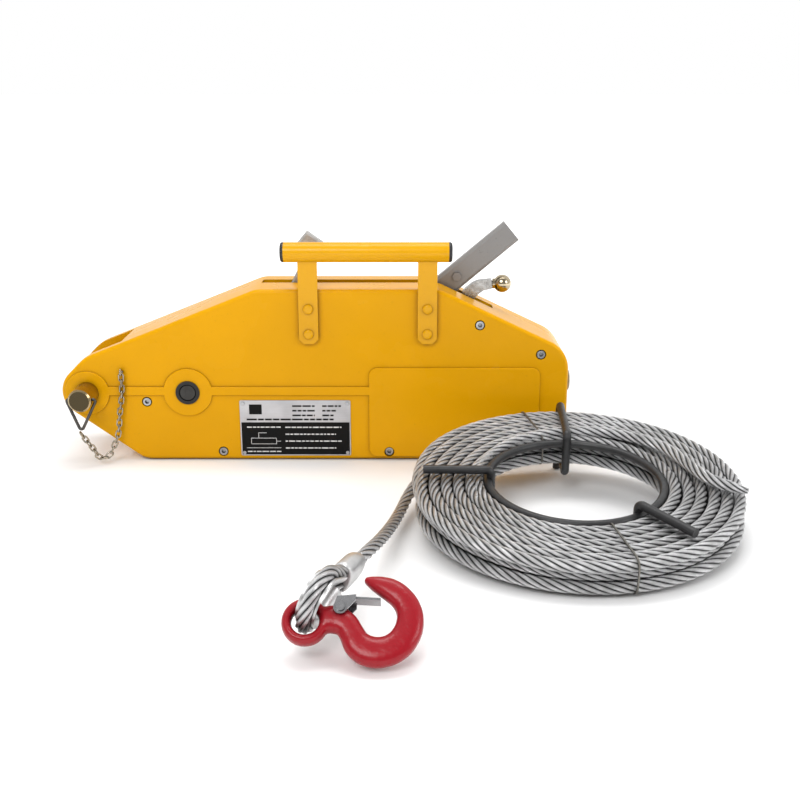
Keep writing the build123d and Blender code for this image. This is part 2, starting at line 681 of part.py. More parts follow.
# ---- reverse lever --------------------------------------------------------------------------------
with BuildPart() as reverse_lever:
    with BuildSketch(at_y(MECH_Y + LEVER_HALF_T)):
        with BuildLine():
            Polyline(
                (-42.0, 98.0), (-34.0, 170.0), (-20.0, 198.0), (-17.0, 212.0), (-21.0, 226.0),
                (-9.0, 240.0), (8.0, 228.0), (2.0, 210.0), (-5.0, 190.0), (-18.0, 98.0), close=True,
            )
        make_face()
        with Locations(REVERSE_PIVOT):
            Circle(13.0)
            Circle(SMALL_SHAFT_R, mode=Mode.SUBTRACT)
    extrude(amount=2 * LEVER_HALF_T)
    rims = reverse_lever.faces().filter_by(Axis.Y).edges().filter_by(lambda e: e.center().Z > 182)
    chamfer(rims, 2.0)
save(reverse_lever, "reverse_lever")

with BuildPart() as reverse_shaft:
    with BuildSketch(at_y(BACK_Y - PLATE)):
        with Locations(REVERSE_PIVOT):
            Circle(SMALL_SHAFT_R)
    extrude(amount=BACK_Y - FRONT_Y - 2 * PLATE)
save(reverse_shaft, "reverse_shaft")

# ---- release lever -----------------------------------------------------------------------------------
KNOB = (200.0, 182.5)
ARM_HALF_T = 4.5
with BuildPart() as release_lever:
    with BuildSketch(at_y(MECH_Y + ARM_HALF_T)):
        with BuildLine():
            Polyline(
                (130.0, 152.0), (150.0, 163.0), (160.0, 178.0), (168.0, 184.5), (174.0, 187.0),
                (188.0, 188.5), (189.0, 178.5), (180.0, 176.5), (175.0, 173.0), (163.0, 160.0),
                (147.0, 138.0), close=True,
            )
        make_face()
        with Locations(RELEASE_PIVOT):
            Circle(12.0)
            Circle(SMALL_SHAFT_R, mode=Mode.SUBTRACT)
    extrude(amount=2 * ARM_HALF_T)
    with BuildSketch(Plane.YZ.offset(187.0)):
        with Locations((MECH_Y, 183.4)):
            Circle(3.4)
    extrude(amount=6.0)
save(release_lever, "release_lever")

with BuildPart() as release_shaft:
    with BuildSketch(at_y(BACK_Y - PLATE)):
        with Locations(RELEASE_PIVOT):
            Circle(SMALL_SHAFT_R)
    extrude(amount=BACK_Y - FRONT_Y - 2 * PLATE)
save(release_shaft, "release_shaft")

with BuildPart() as release_cam:
    with BuildSketch(at_y(MECH_Y + 16.0)):
        with Locations(RELEASE_PIVOT):
            Circle(11.0)
        with Locations((RELEASE_PIVOT[0] - 4.0, RELEASE_PIVOT[1] - 12.0)):
            Circle(6.0)
        with Locations(RELEASE_PIVOT):
            Circle(SMALL_SHAFT_R, mode=Mode.SUBTRACT)
    extrude(amount=10.0)
save(release_cam, "release_cam")

KNOB_R = 9.6
with BuildPart() as release_knob:
    with BuildSketch(at_y(MECH_Y)):
        with BuildLine():
            shank = KNOB[0] - 10.8
            neck = KNOB[0] - (KNOB_R**2 - 5.4**2) ** 0.5
            Line((shank, 183.4 + 3.4), (shank, 183.4 + 5.4))
            Line((shank, 183.4 + 5.4), (neck, 183.4 + 5.4))
            ThreePointArc((neck, 183.4 + 5.4), (KNOB[0], 183.4 + KNOB_R), (KNOB[0] + KNOB_R, 183.4))
            Line((KNOB[0] + KNOB_R, 183.4), (193.0, 183.4))
            Line((193.0, 183.4), (193.0, 183.4 + 3.4))
            Line((193.0, 183.4 + 3.4), (shank, 183.4 + 3.4))
        make_face()
    revolve(axis=Axis((0, MECH_Y, 183.4), (1, 0, 0)), revolution_arc=360)
save(release_knob, "release_knob")

# ---- rope set -------------------------------------------------------------------------------------------
coil_low = COIL_R_OUT * sin(radians(COIL_TILT)) + 2.4
coil_plane = Plane(
    origin=(COIL_X, COIL_Y, coil_low), x_dir=(1, 0, 0),
    z_dir=(0, -sin(radians(COIL_TILT)), cos(radians(COIL_TILT))),
)
with BuildPart() as rope_coil:
    with BuildSketch(Plane(origin=coil_plane.origin, x_dir=coil_plane.x_dir, z_dir=-coil_plane.y_dir)):
        with Locations(((COIL_R_IN + COIL_R_OUT) / 2, COIL_T / 2)):
            RectangleRounded(COIL_R_OUT - COIL_R_IN, COIL_T, 8.0)
    revolve(axis=Axis(coil_plane.origin, coil_plane.z_dir), revolution_arc=360)
save(rope_coil, "rope_coil")

# black round-bar reel: a ring inside the coil, and arms that reach over and under it
REEL_BAR_R = 4.0
REEL_RING_R = COIL_R_IN - REEL_BAR_R - 1.5
REEL_RING_Z = COIL_T - 6.0
ARM_ANGLES = (178.5, 87.5, -54.0)
LEGGED_ARM = 87.5          # this one spans the whole coil and stands on the floor
SHORT_ARM = {"over": 138.0, "under": 112.0}
with BuildPart() as rope_reel:
    ring_plane = coil_plane.offset(REEL_RING_Z)
    with BuildSketch(Plane(origin=ring_plane.origin, x_dir=ring_plane.x_dir, z_dir=-ring_plane.y_dir)):
        with Locations((REEL_RING_R, 0)):
            Circle(REEL_BAR_R)
    revolve(axis=Axis(ring_plane.origin, ring_plane.z_dir), revolution_arc=360)
    over = COIL_T + REEL_BAR_R + 0.6
    under = -REEL_BAR_R - 0.6
    reach = COIL_R_OUT - 1.0
    for angle in ARM_ANGLES:
        out = coil_plane.x_dir * cos(radians(angle)) + coil_plane.y_dir * sin(radians(angle))
        arm_plane = Plane(origin=coil_plane.origin, x_dir=out, z_dir=out.cross(coil_plane.z_dir))
        stem = REEL_RING_R - 3.3
        floor = REEL_BAR_R * sin(radians(COIL_TILT)) - (coil_plane.origin + out * reach).Z
        low_points = [(stem, 10.0), (stem, under)]
        high_points = [(stem, 8.0), (stem, over)]
        if angle == LEGGED_ARM:
            low_points += [(reach, under), (reach, floor)]
            high_points += [(reach, over), (reach + 6.0, over - 9.0)]
        else:
            low_points.append((SHORT_ARM["under"], under))
            high_points.append((SHORT_ARM["over"], over))
        for points, turn in ((low_points, -1), (high_points, 1)):
            with BuildLine(arm_plane):
                FilletPolyline(*points, radius=5.0)
            start = arm_plane.from_local_coords(points[0])
            with BuildSketch(Plane(origin=start, x_dir=out, z_dir=coil_plane.z_dir * turn)):
                Circle(REEL_BAR_R)
            sweep()
save(rope_reel, "rope_reel")

# thin wires that bind the coil
TIE_ANGLES = (-79.0, 103.0)
TIE_D = 1.4
with BuildPart() as binding_wires:
    for angle in TIE_ANGLES:
        out = coil_plane.x_dir * cos(radians(angle)) + coil_plane.y_dir * sin(radians(angle))
        tie_plane = Plane(origin=coil_plane.origin, x_dir=out, z_dir=out.cross(coil_plane.z_dir))
        with BuildSketch(tie_plane.offset(-TIE_D / 2)):
            with Locations(((COIL_R_IN + COIL_R_OUT) / 2, COIL_T / 2)):
                width = COIL_R_OUT - COIL_R_IN + 0.2
                RectangleRounded(width + 2 * TIE_D, COIL_T + 0.2 + 2 * TIE_D, 8.0 + TIE_D)
                RectangleRounded(width, COIL_T + 0.2, 8.0, mode=Mode.SUBTRACT)
        extrude(amount=TIE_D)
save(binding_wires, "binding_wires")


def rope_tube(points, radius, name):
    """Tube along straight runs joined by arcs as large as the runs allow."""
    corners = [Vector(*p) for p in points]
    runs = [b - a for a, b in zip(corners, corners[1:])]
    turns = [radians(a.get_angle(b)) for a, b in zip(runs, runs[1:])]
    radii = [
        0.45 * min(a.length, b.length) / tan(turn / 2) for a, b, turn in zip(runs, runs[1:], turns)
    ]
    with BuildPart() as tube:
        with BuildLine():
            route = FilletPolyline(*corners, radius=radii)
        with BuildSketch(Plane(origin=corners[0], z_dir=runs[0])):
            Circle(radius)
        sweep()
    print(name, "arc radii", [round(r) for r in radii], "length", round(route.length, 1),
          "volume ratio", round(tube.part.volume / (pi * radius**2 * route.length), 4))
    return tube


# ferrule, thimble and rope eye lie in one upright plane that points along the ferrule
HOOK_TILT = 40.0           # degrees, the hook's plane leans up towards its tip
hook_normal = Vector(0, -sin(radians(HOOK_TILT)), cos(radians(HOOK_TILT)))
FERRULE_DIR = Vector(-0.38, -0.925, 0).normalized()
FERRULE_LENGTH = 34.0
EYE_START = Vector(44.9, -408.1, 38.5)
loop_up = (hook_normal - FERRULE_DIR * hook_normal.dot(FERRULE_DIR)).normalized()
loop_plane = Plane(origin=EYE_START, x_dir=FERRULE_DIR, z_dir=FERRULE_DIR.cross(loop_up))
ferrule_end = EYE_START - FERRULE_DIR * FERRULE_LENGTH

# rope from the coil's outermost turn along a shallow rise, held by its own stiffness, to the ferrule
TAIL_LEAVES = 150.0        # degrees round the coil
leave = coil_plane.from_local_coords(
    ((COIL_R_OUT - ROPE_R) * cos(radians(TAIL_LEAVES)), (COIL_R_OUT - ROPE_R) * sin(radians(TAIL_LEAVES)), ROPE_R)
)
TAIL_POINTS = [
    tuple(leave), (99.0, -190.0, 21.0), (90.5, -228.0, 17.0), (83.0, -272.0, 22.0),
    (73.5, -325.0, 32.0), (65.3, -358.4, 38.5), tuple(ferrule_end),
]
rope_tail = rope_tube(TAIL_POINTS, ROPE_R, "rope_tail")
save(rope_tail, "rope_tail")

# bare end of the rope, which crosses out over the top of the coil and ends in a fused taper
TOP_LINE = COIL_T + ROPE_R
END_POINTS = [(86.0, 56.0), (100.0, 28.0), (109.0, -2.0), (119.0, -22.0), (133.0, -34.0)]
end_route = [tuple(coil_plane.from_local_coords((x, y, TOP_LINE))) for x, y in END_POINTS]
end_tube = rope_tube(end_route, ROPE_R, "rope_end")
taper_dir = (Vector(*end_route[-1]) - Vector(*end_route[-2])).normalized()
with BuildPart() as rope_end:
    add(end_tube.part)
    with BuildSketch(Plane(origin=end_route[-1], z_dir=taper_dir)):
        Circle(ROPE_R)
    extrude(amount=15.0, taper=9.0)
save(rope_end, "rope_end")

with BuildPart() as ferrule:
    sections = ((0.0, 6.6, 6.6), (9.0, 8.2, 11.2), (14.0, 8.4, 12.4), (FERRULE_LENGTH, 8.4, 12.4))
    for along, half_thick, half_wide in sections:
        with BuildSketch(Plane(origin=ferrule_end + FERRULE_DIR * along, x_dir=loop_up, z_dir=FERRULE_DIR)):
            Ellipse(half_wide, half_thick)
    loft(ruled=True)
save(ferrule, "ferrule")

CROWN_R = 20.0             # rope centre line round the thimble's crown
CROWN_X = 36.0
STRAND_OFFSET = 5.9
reach_to_crown = hypot(CROWN_X, STRAND_OFFSET)
lead_angle = -atan2(STRAND_OFFSET, CROWN_X) + acos((reach_to_crown**2 - CROWN_R**2) ** 0.5 / reach_to_crown)
lead = (reach_to_crown**2 - CROWN_R**2) ** 0.5
touch = (lead * cos(lead_angle), STRAND_OFFSET + lead * sin(lead_angle))


def loop_path(skip):
    """Teardrop centre line of the eye, starting skip mm along its first strand."""
    start = (skip * cos(lead_angle), STRAND_OFFSET + skip * sin(lead_angle))
    with BuildLine(loop_plane) as path:
        Line(start, touch)
        ThreePointArc(touch, (CROWN_X + CROWN_R, 0), (touch[0], -touch[1]))
        Line((touch[0], -touch[1]), (start[0], -start[1]))
    return path.wire(), loop_plane.from_local_coords(start)


lead_dir = loop_plane.x_dir * cos(lead_angle) + loop_plane.y_dir * sin(lead_angle)
inward_dir = loop_plane.x_dir * sin(lead_angle) - loop_plane.y_dir * cos(lead_angle)
eye_path, eye_start = loop_path(0.0)
with BuildPart() as rope_eye:
    with BuildSketch(Plane(origin=eye_start, x_dir=inward_dir, z_dir=lead_dir)):
        Circle(ROPE_R)
    sweep(path=eye_path)
save(rope_eye, "rope_eye")

thimble_path, thimble_start = loop_path(7.0)
with BuildPart() as thimble:
    with BuildSketch(Plane(origin=thimble_start, x_dir=inward_dir, z_dir=lead_dir)):
        Circle(ROPE_R + 2.2)
        Circle(ROPE_R + 0.3, mode=Mode.SUBTRACT)
        with Locations((-ROPE_R - 0.6, 0)):
            Rectangle(2 * ROPE_R + 2.0, 4 * ROPE_R, mode=Mode.SUBTRACT)
    sweep(path=thimble_path)
save(thimble, "thimble")

# ---- hook and latch ----------------------------------------------------------------------------
HOOK_EYE = Vector(22.8, -454.9, 27.2)
HOOK_HALF_T = 7.5
EYE_R = 17.0
EYE_HOLE_R = 10.0
BOWL = (50.0, 0.5)
BOWL_R = 34.0
BOWL_HOLE = (51.0, 3.0)
BOWL_HOLE_R = 14.5
LATCH_PIVOT = (25.0, 8.0)
hook_plane = Plane(origin=HOOK_EYE, x_dir=(1, 0, 0), z_dir=hook_normal)
with BuildPart() as hook:
    with BuildSketch(hook_plane.offset(-HOOK_HALF_T)):
        with Locations(BOWL):
            Circle(BOWL_R)
        # flatter outline between the neck and the bottom of the bowl
        with BuildLine():
            Polyline(
                (10.0, -8.5), (24.0, -8.5), (30.0, -18.0), (38.0, -30.5), (38.0, -40.0), (10.0, -40.0),
                close=True,
            )
        make_face(mode=Mode.SUBTRACT)
        Circle(EYE_R)
        with BuildLine():
            Polyline((8.0, 13.0), (35.0, 13.0), (35.0, -12.0), (24.0, -8.5), (12.0, -11.5), close=True)
        make_face()
        Circle(EYE_HOLE_R, mode=Mode.SUBTRACT)
        with Locations(BOWL_HOLE):
            Circle(BOWL_HOLE_R, mode=Mode.SUBTRACT)
        # throat between the neck and the blunt tip
        with BuildLine():
            Polyline(
                (38.0, 4.5), (34.5, 6.5), (24.0, 13.0), (8.0, 13.0), (8.0, 45.0), (40.5, 45.0),
                (40.5, 33.0), (47.0, 22.5), (52.0, 17.0), close=True,
            )
        make_face(mode=Mode.SUBTRACT)
    extrude(amount=2 * HOOK_HALF_T)
    flat_faces = hook.faces().sort_by(Axis(HOOK_EYE, hook_normal))
    round_edges = (flat_faces[0].edges() + flat_faces[-1].edges()).filter_by(GeomType.CIRCLE)
    fillet(round_edges, 1.6)
    with BuildSketch(hook_plane.offset(-HOOK_HALF_T)):
        with Locations(LATCH_PIVOT):
            Circle(1.8)
    extrude(amount=2 * HOOK_HALF_T, mode=Mode.SUBTRACT)
save(hook, "hook")

with BuildPart() as latch:
    for level in (HOOK_HALF_T + 0.4, -HOOK_HALF_T - 2.0):
        with BuildSketch(hook_plane.offset(level)):
            with Locations(LATCH_PIVOT):
                Circle(5.0)
            with BuildLine():
                Polyline((20.4, 10.0), (22.6, 16.2), (36.0, 17.4), (36.0, 13.6), (29.0, 5.5), close=True)
            make_face()
            with Locations(LATCH_PIVOT):
                Circle(1.8, mode=Mode.SUBTRACT)
        extrude(amount=1.6)
    with BuildSketch(hook_plane.offset(-HOOK_HALF_T - 2.0)):
        with BuildLine():
            Polyline((22.6, 16.2), (36.0, 17.4), (36.0, 15.6), (22.6, 14.4), close=True)
        make_face()
    extrude(amount=2 * HOOK_HALF_T + 4.0)
    with BuildSketch(hook_plane.offset(-5.5)):
        with BuildLine():
            Polyline((35.0, 17.3), (53.5, 16.2), (53.6, 14.4), (35.0, 15.5), close=True)
        make_face()
    extrude(amount=11.0)
save(latch, "latch")

with BuildPart() as latch_pin:
    with BuildSketch(hook_plane.offset(-HOOK_HALF_T - 2.2)):
        with Locations(LATCH_PIVOT):
            Circle(1.75)
    extrude(amount=2 * HOOK_HALF_T + 4.4)
    for level, height in ((HOOK_HALF_T + 2.1, 1.2), (-HOOK_HALF_T - 2.1, -1.2)):
        with BuildSketch(hook_plane.offset(level)):
            with Locations(LATCH_PIVOT):
                Circle(3.2)
        extrude(amount=height)
save(latch_pin, "latch_pin")
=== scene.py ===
import json
import random
from math import atan2, cos, pi, radians, sin, sqrt

import bpy
from mathutils import Matrix, Vector


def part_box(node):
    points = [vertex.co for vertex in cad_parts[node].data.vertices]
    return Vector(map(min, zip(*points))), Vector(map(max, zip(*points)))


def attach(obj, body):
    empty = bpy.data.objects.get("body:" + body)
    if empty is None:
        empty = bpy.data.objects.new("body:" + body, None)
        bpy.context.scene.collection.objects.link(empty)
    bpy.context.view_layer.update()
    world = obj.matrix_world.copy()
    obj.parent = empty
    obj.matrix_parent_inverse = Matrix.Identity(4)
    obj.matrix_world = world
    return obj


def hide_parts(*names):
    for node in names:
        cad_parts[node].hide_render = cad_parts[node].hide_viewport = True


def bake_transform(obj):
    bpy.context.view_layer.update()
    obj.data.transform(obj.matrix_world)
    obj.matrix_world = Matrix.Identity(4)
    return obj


# Wire rope pulling machine with its coiled rope, in metres, in the CAD model's frame.

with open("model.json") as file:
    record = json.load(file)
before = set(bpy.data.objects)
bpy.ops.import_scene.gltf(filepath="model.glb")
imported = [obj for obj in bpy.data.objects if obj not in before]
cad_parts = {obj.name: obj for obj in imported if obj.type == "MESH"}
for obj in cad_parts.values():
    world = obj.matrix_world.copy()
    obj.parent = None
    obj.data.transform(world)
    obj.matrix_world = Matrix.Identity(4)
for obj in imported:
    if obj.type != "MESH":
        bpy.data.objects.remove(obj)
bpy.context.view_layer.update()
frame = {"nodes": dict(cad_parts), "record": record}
random.seed(7)
scene = bpy.context.scene


# ---- camera, floor and light ---------------------------------------------------------------
def add_camera():
    data = bpy.data.cameras.new("camera")
    data.lens = 48.7
    data.sensor_width = 36.0
    camera = bpy.data.objects.new("camera", data)
    camera.location = (0.090, -1.144, 0.400)
    camera.rotation_euler = (radians(73.2), 0.0, 0.0)
    scene.collection.objects.link(camera)
    scene.camera = camera


def add_area_light(name, place, target, size, power):
    data = bpy.data.lights.new(name, "AREA")
    data.shape = "RECTANGLE"
    data.size = size[0]
    data.size_y = size[1]
    data.energy = power
    light = bpy.data.objects.new(name, data)
    light.location = place
    light.rotation_euler = (Vector(target) - Vector(place)).to_track_quat("-Z", "Y").to_euler()
    scene.collection.objects.link(light)


FLOOR_HALF = 20.0
FLOOR_GAP = 0.0006  # the floor lies this far under the object
FLOOR_GLOW = (0.5, 1.3, 0.0, 0.85)  # distances from the middle, and the glow at each
WORLD_SHADES = (-0.45, 0.15, 0.36, 1.0)  # directions along Y, and the brightness at each


def add_studio():
    data = bpy.data.meshes.new("floor")
    corners = [(x * FLOOR_HALF, y * FLOOR_HALF, 0) for x, y in ((-1, -1), (1, -1), (1, 1), (-1, 1))]
    data.from_pydata(corners, [], [(0, 1, 2, 3)])
    floor = bpy.data.objects.new("floor", data)
    floor.location.z = -FLOOR_GAP
    scene.collection.objects.link(floor)
    mat = bpy.data.materials.new("floor_white")
    mat.use_nodes = True
    tree = mat.node_tree
    shader = tree.nodes["Principled BSDF"]
    shader.inputs["Base Color"].default_value = (0.93, 0.93, 0.93, 1)
    shader.inputs["Roughness"].default_value = 0.9
    shader.inputs["Specular IOR Level"].default_value = 0.0
    # away from the object the paper sweep glows, so that it meets the white behind it unseen
    coords = tree.nodes.new("ShaderNodeTexCoord")
    distance = tree.nodes.new("ShaderNodeVectorMath")
    distance.operation = "LENGTH"
    tree.links.new(coords.outputs["Object"], distance.inputs[0])
    glow = tree.nodes.new("ShaderNodeMapRange")
    for socket, value in zip(("From Min", "From Max", "To Min", "To Max"), FLOOR_GLOW):
        glow.inputs[socket].default_value = value
    tree.links.new(distance.outputs["Value"], glow.inputs["Value"])
    tree.links.new(glow.outputs["Result"], shader.inputs["Emission Strength"])
    shader.inputs["Emission Color"].default_value = (1, 1, 1, 1)
    data.materials.append(mat)

    scene.world = studio_world()
    scene.view_settings.view_transform = "Standard"
    add_area_light("key", (-0.5, -1.8, 1.6), (0.0, -0.1, 0.1), (1.0, 0.9), 22.0)
    add_area_light("fill", (1.6, -1.0, 0.9), (0.1, -0.1, 0.1), (0.7, 0.9), 9.0)
    add_area_light("top", (0.1, 0.1, 1.9), (0.1, -0.1, 0.0), (1.4, 0.7), 15.0)


def studio_world():
    """White behind and above the object, dimmer in front of it, as in a light tent."""
    world = bpy.data.worlds.new("studio")
    world.use_nodes = True
    tree = world.node_tree
    coords = tree.nodes.new("ShaderNodeTexCoord")
    parts = tree.nodes.new("ShaderNodeSeparateXYZ")
    tree.links.new(coords.outputs["Generated"], parts.inputs[0])
    depth = tree.nodes.new("ShaderNodeMapRange")
    for socket, value in zip(("From Min", "From Max", "To Min", "To Max"), WORLD_SHADES):
        depth.inputs[socket].default_value = value
    tree.links.new(parts.outputs["Y"], depth.inputs["Value"])
    background = tree.nodes["Background"]
    tree.links.new(depth.outputs["Result"], background.inputs["Strength"])
    background.inputs["Color"].default_value = (1, 1, 1, 1)
    return world


add_camera()
add_studio()


# ---- lines of points -------------------------------------------------------------------------
def curve_points(name, points, kind, steps):
    """Points along a smooth curve with these control points, as Blender evaluates it."""
    data = bpy.data.curves.new(name, "CURVE")
    data.dimensions = "3D"
    spline = data.splines.new(kind)
    if kind == "NURBS":
        spline.points.add(len(points) - 1)
        for point, place in zip(spline.points, points):
            point.co = (*place, 1.0)
        spline.order_u = 3
        spline.use_endpoint_u = True
    else:
        spline.bezier_points.add(len(points) - 1)
        for point, place in zip(spline.bezier_points, points):
            point.co = place
            point.handle_left_type = "AUTO"
            point.handle_right_type = "AUTO"
    spline.resolution_u = steps
    data.resolution_u = steps
    line = bpy.data.objects.new(name, data)
    scene.collection.objects.link(line)
    mesh = bpy.data.meshes.new_from_object(line.evaluated_get(bpy.context.evaluated_depsgraph_get()))
    found = [vertex.co.copy() for vertex in mesh.vertices]
    bpy.data.objects.remove(line)
    bpy.data.meshes.remove(mesh)
    return found


def spaced(points, step):
    """The same line with points a fixed distance apart."""
    result = [points[0].copy()]
    travelled = 0.0
    for start, end in zip(points, points[1:]):
        run = (end - start).length
        while run > 0 and travelled + run >= step:
            share = (step - travelled) / run
            start = start.lerp(end, share)
            result.append(start.copy())
            run = (end - start).length
            travelled = 0.0
        travelled += run
    return result


def line_length(points):
    return sum((b - a).length for a, b in zip(points, points[1:]))


def frames_along(points, closed=False):
    """A (tangent, normal, binormal) at each point, carried along without twist."""
    count = len(points)
    tangents = []
    for index in range(count):
        before = points[index - 1] if closed or index > 0 else points[index]
        after = points[(index + 1) % count] if closed or index < count - 1 else points[index]
        tangents.append((after - before).normalized())
    normal = tangents[0].orthogonal().normalized()
    result = []
    for tangent in tangents:
        normal = (normal - tangent * normal.dot(tangent)).normalized()
        result.append((tangent, normal, tangent.cross(normal)))
    return result


def add_piece(name, vertices, faces, body, material=None, smooth=True):
    data = bpy.data.meshes.new(name)
    data.from_pydata([tuple(v) for v in vertices], [], faces)
    data.update()
    piece = bpy.data.objects.new(name, data)
    scene.collection.objects.link(piece)
    if smooth:
        data.shade_smooth()
    if material is not None:
        data.materials.append(material)
    if body:
        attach(piece, body)
    return piece


def ring_faces(rings, sides, closed, first=0):
    """Quads that join rings of vertices, with end caps unless the line is closed."""
    faces = []
    for ring in range(rings if closed else rings - 1):
        here = first + ring * sides
        there = first + ((ring + 1) % rings) * sides
        for side in range(sides):
            beside = (side + 1) % sides
            faces.append((here + side, here + beside, there + beside, there + side))
    if not closed:
        faces.append(tuple(first + side for side in reversed(range(sides))))
        faces.append(tuple(first + (rings - 1) * sides + side for side in range(sides)))
    return faces


def tube_parts(points, radius, sides, closed=False, first=0):
    """Vertices and faces of a round wire along points."""
    vertices = []
    for place, (tangent, normal, binormal) in zip(points, frames_along(points, closed)):
        for side in range(sides):
            angle = 2 * pi * side / sides
            vertices.append(place + (normal * cos(angle) + binormal * sin(angle)) * radius)
    return vertices, ring_faces(len(points), sides, closed, first)


# ---- materials ---------------------------------------------------------------------------------
def new_material(name):
    mat = bpy.data.materials.new(name)
    mat.use_nodes = True
    tree = mat.node_tree
    return mat, tree, tree.nodes["Principled BSDF"]


def add_node(tree, kind, **values):
    node = tree.nodes.new(kind)
    for key, value in values.items():
        setattr(node, key, value)
    return node


def object_coords(tree):
    return add_node(tree, "ShaderNodeTexCoord").outputs["Object"]


def noise(tree, coords, scale, detail=3.0, roughness=0.55):
    node = add_node(tree, "ShaderNodeTexNoise")
    node.inputs["Scale"].default_value = scale
    node.inputs["Detail"].default_value = detail
    node.inputs["Roughness"].default_value = roughness
    tree.links.new(coords, node.inputs["Vector"])
    return node.outputs["Fac"]


def stretched(tree, coords, scale):
    node = add_node(tree, "ShaderNodeMapping")
    node.inputs["Scale"].default_value = scale
    tree.links.new(coords, node.inputs["Vector"])
    return node.outputs["Vector"]


def remap(tree, value, low, high, to_low, to_high):
    node = add_node(tree, "ShaderNodeMapRange")
    node.inputs["From Min"].default_value = low
    node.inputs["From Max"].default_value = high
    node.inputs["To Min"].default_value = to_low
    node.inputs["To Max"].default_value = to_high
    tree.links.new(value, node.inputs["Value"])
    return node.outputs["Result"]


def mix_colours(tree, factor, first, second):
    node = add_node(tree, "ShaderNodeMix", data_type="RGBA")
    tree.links.new(factor, node.inputs["Factor"])
    for socket, value in ((node.inputs[6], first), (node.inputs[7], second)):
        if isinstance(value, tuple):
            socket.default_value = (*value, 1.0)
        else:
            tree.links.new(value, socket)
    return node.outputs[2]


def math_node(tree, operation, first, second=None):
    node = add_node(tree, "ShaderNodeMath", operation=operation)
    for socket, value in zip(node.inputs, (first, second)):
        if value is None:
            continue
        if isinstance(value, (int, float)):
            socket.default_value = value
        else:
            tree.links.new(value, socket)
    return node.outputs[0]


def bump(tree, shader, height, distance, strength=1.0, below=None):
    node = add_node(tree, "ShaderNodeBump")
    node.inputs["Distance"].default_value = distance
    node.inputs["Strength"].default_value = strength
    tree.links.new(height, node.inputs["Height"])
    if below is not None:
        tree.links.new(below, node.inputs["Normal"])
    tree.links.new(node.outputs["Normal"], shader.inputs["Normal"])
    return node.outputs["Normal"]


def tinted(colour, factor):
    return tuple(min(1.0, channel * factor) for channel in colour)


def painted_gap_shade(tree, shade, dark, distance, open_at, most):
    """Painted shade: darkens corners and gaps that lie within distance of another surface, where shade
    falls.
    """
    node = add_node(tree, "ShaderNodeAmbientOcclusion", samples=6, only_local=False)
    node.inputs["Distance"].default_value = distance
    return mix_colours(tree, remap(tree, node.outputs["AO"], 0.2, open_at, most, 0.0), shade, dark)


def enamel(name, colour, roughness=0.26, coat=0.04, peel=0.00012, dust=0.05, specular=0.08):
    """Glossy sprayed paint: faint orange peel, slow colour drift and a little dust."""
    mat, tree, shader = new_material(name)
    coords = object_coords(tree)
    drift = noise(tree, coords, 9.0, 4.0)
    base = mix_colours(tree, remap(tree, drift, 0.3, 0.7, 0, 1), tinted(colour, 0.94), tinted(colour, 1.04))
    specks = noise(tree, coords, 420.0, 2.0)
    mask = remap(tree, specks, 0.66, 0.74, 0.0, dust * 3)
    base = mix_colours(tree, mask, base, tinted(colour, 0.45))
    # painted shade: the paint darkens in corners and gaps near other surfaces
    base = painted_gap_shade(tree, base, tinted(colour, 0.25), 0.006, 0.95, 0.85)
    tree.links.new(base, shader.inputs["Base Color"])
    gloss = remap(tree, drift, 0.3, 0.7, roughness - 0.05, roughness + 0.07)
    tree.links.new(gloss, shader.inputs["Roughness"])
    shader.inputs["Coat Weight"].default_value = coat
    shader.inputs["Coat Roughness"].default_value = 0.12
    shader.inputs["Specular IOR Level"].default_value = specular
    waves = bump(tree, shader, noise(tree, coords, 38.0, 2.0), peel * 3)
    bump(tree, shader, noise(tree, coords, 260.0, 2.0), peel, below=waves)
    return mat


def bare_metal(
    name, colour, roughness, grain=(300.0, 300.0, 300.0), depth=0.00008, stain=0.25, dark_ends=False
):
    """Metal with a fine grain along one direction, uneven brightness and perhaps darker end faces, those
    turned towards -Y.
    """
    mat, tree, shader = new_material(name)
    coords = object_coords(tree)
    shader.inputs["Metallic"].default_value = 1.0
    lines = noise(tree, stretched(tree, coords, grain), 1.0, 4.0)
    patches = noise(tree, coords, 45.0, 5.0)
    shade = mix_colours(tree, remap(tree, patches, 0.35, 0.7, 0, 1), colour, tinted(colour, 1.0 - stain))
    shade = mix_colours(tree, remap(tree, lines, 0.3, 0.7, 0, 0.35), shade, tinted(colour, 1.15))
    if dark_ends:
        facing = add_node(tree, "ShaderNodeSeparateXYZ")
        tree.links.new(add_node(tree, "ShaderNodeTexCoord").outputs["Normal"], facing.inputs[0])
        end_face = remap(tree, facing.outputs["Y"], -0.98, -0.85, 1.0, 0.0)
        shade = mix_colours(tree, end_face, shade, tinted(colour, 0.16))
    # painted shade: the metal darkens in corners and gaps near other surfaces
    shade = painted_gap_shade(tree, shade, tinted(colour, 0.12), 0.0025, 0.9, 0.9)
    tree.links.new(shade, shader.inputs["Base Color"])
    gloss = remap(tree, patches, 0.3, 0.7, roughness - 0.06, roughness + 0.1)
    tree.links.new(gloss, shader.inputs["Roughness"])
    bump(tree, shader, lines, depth)
    return mat


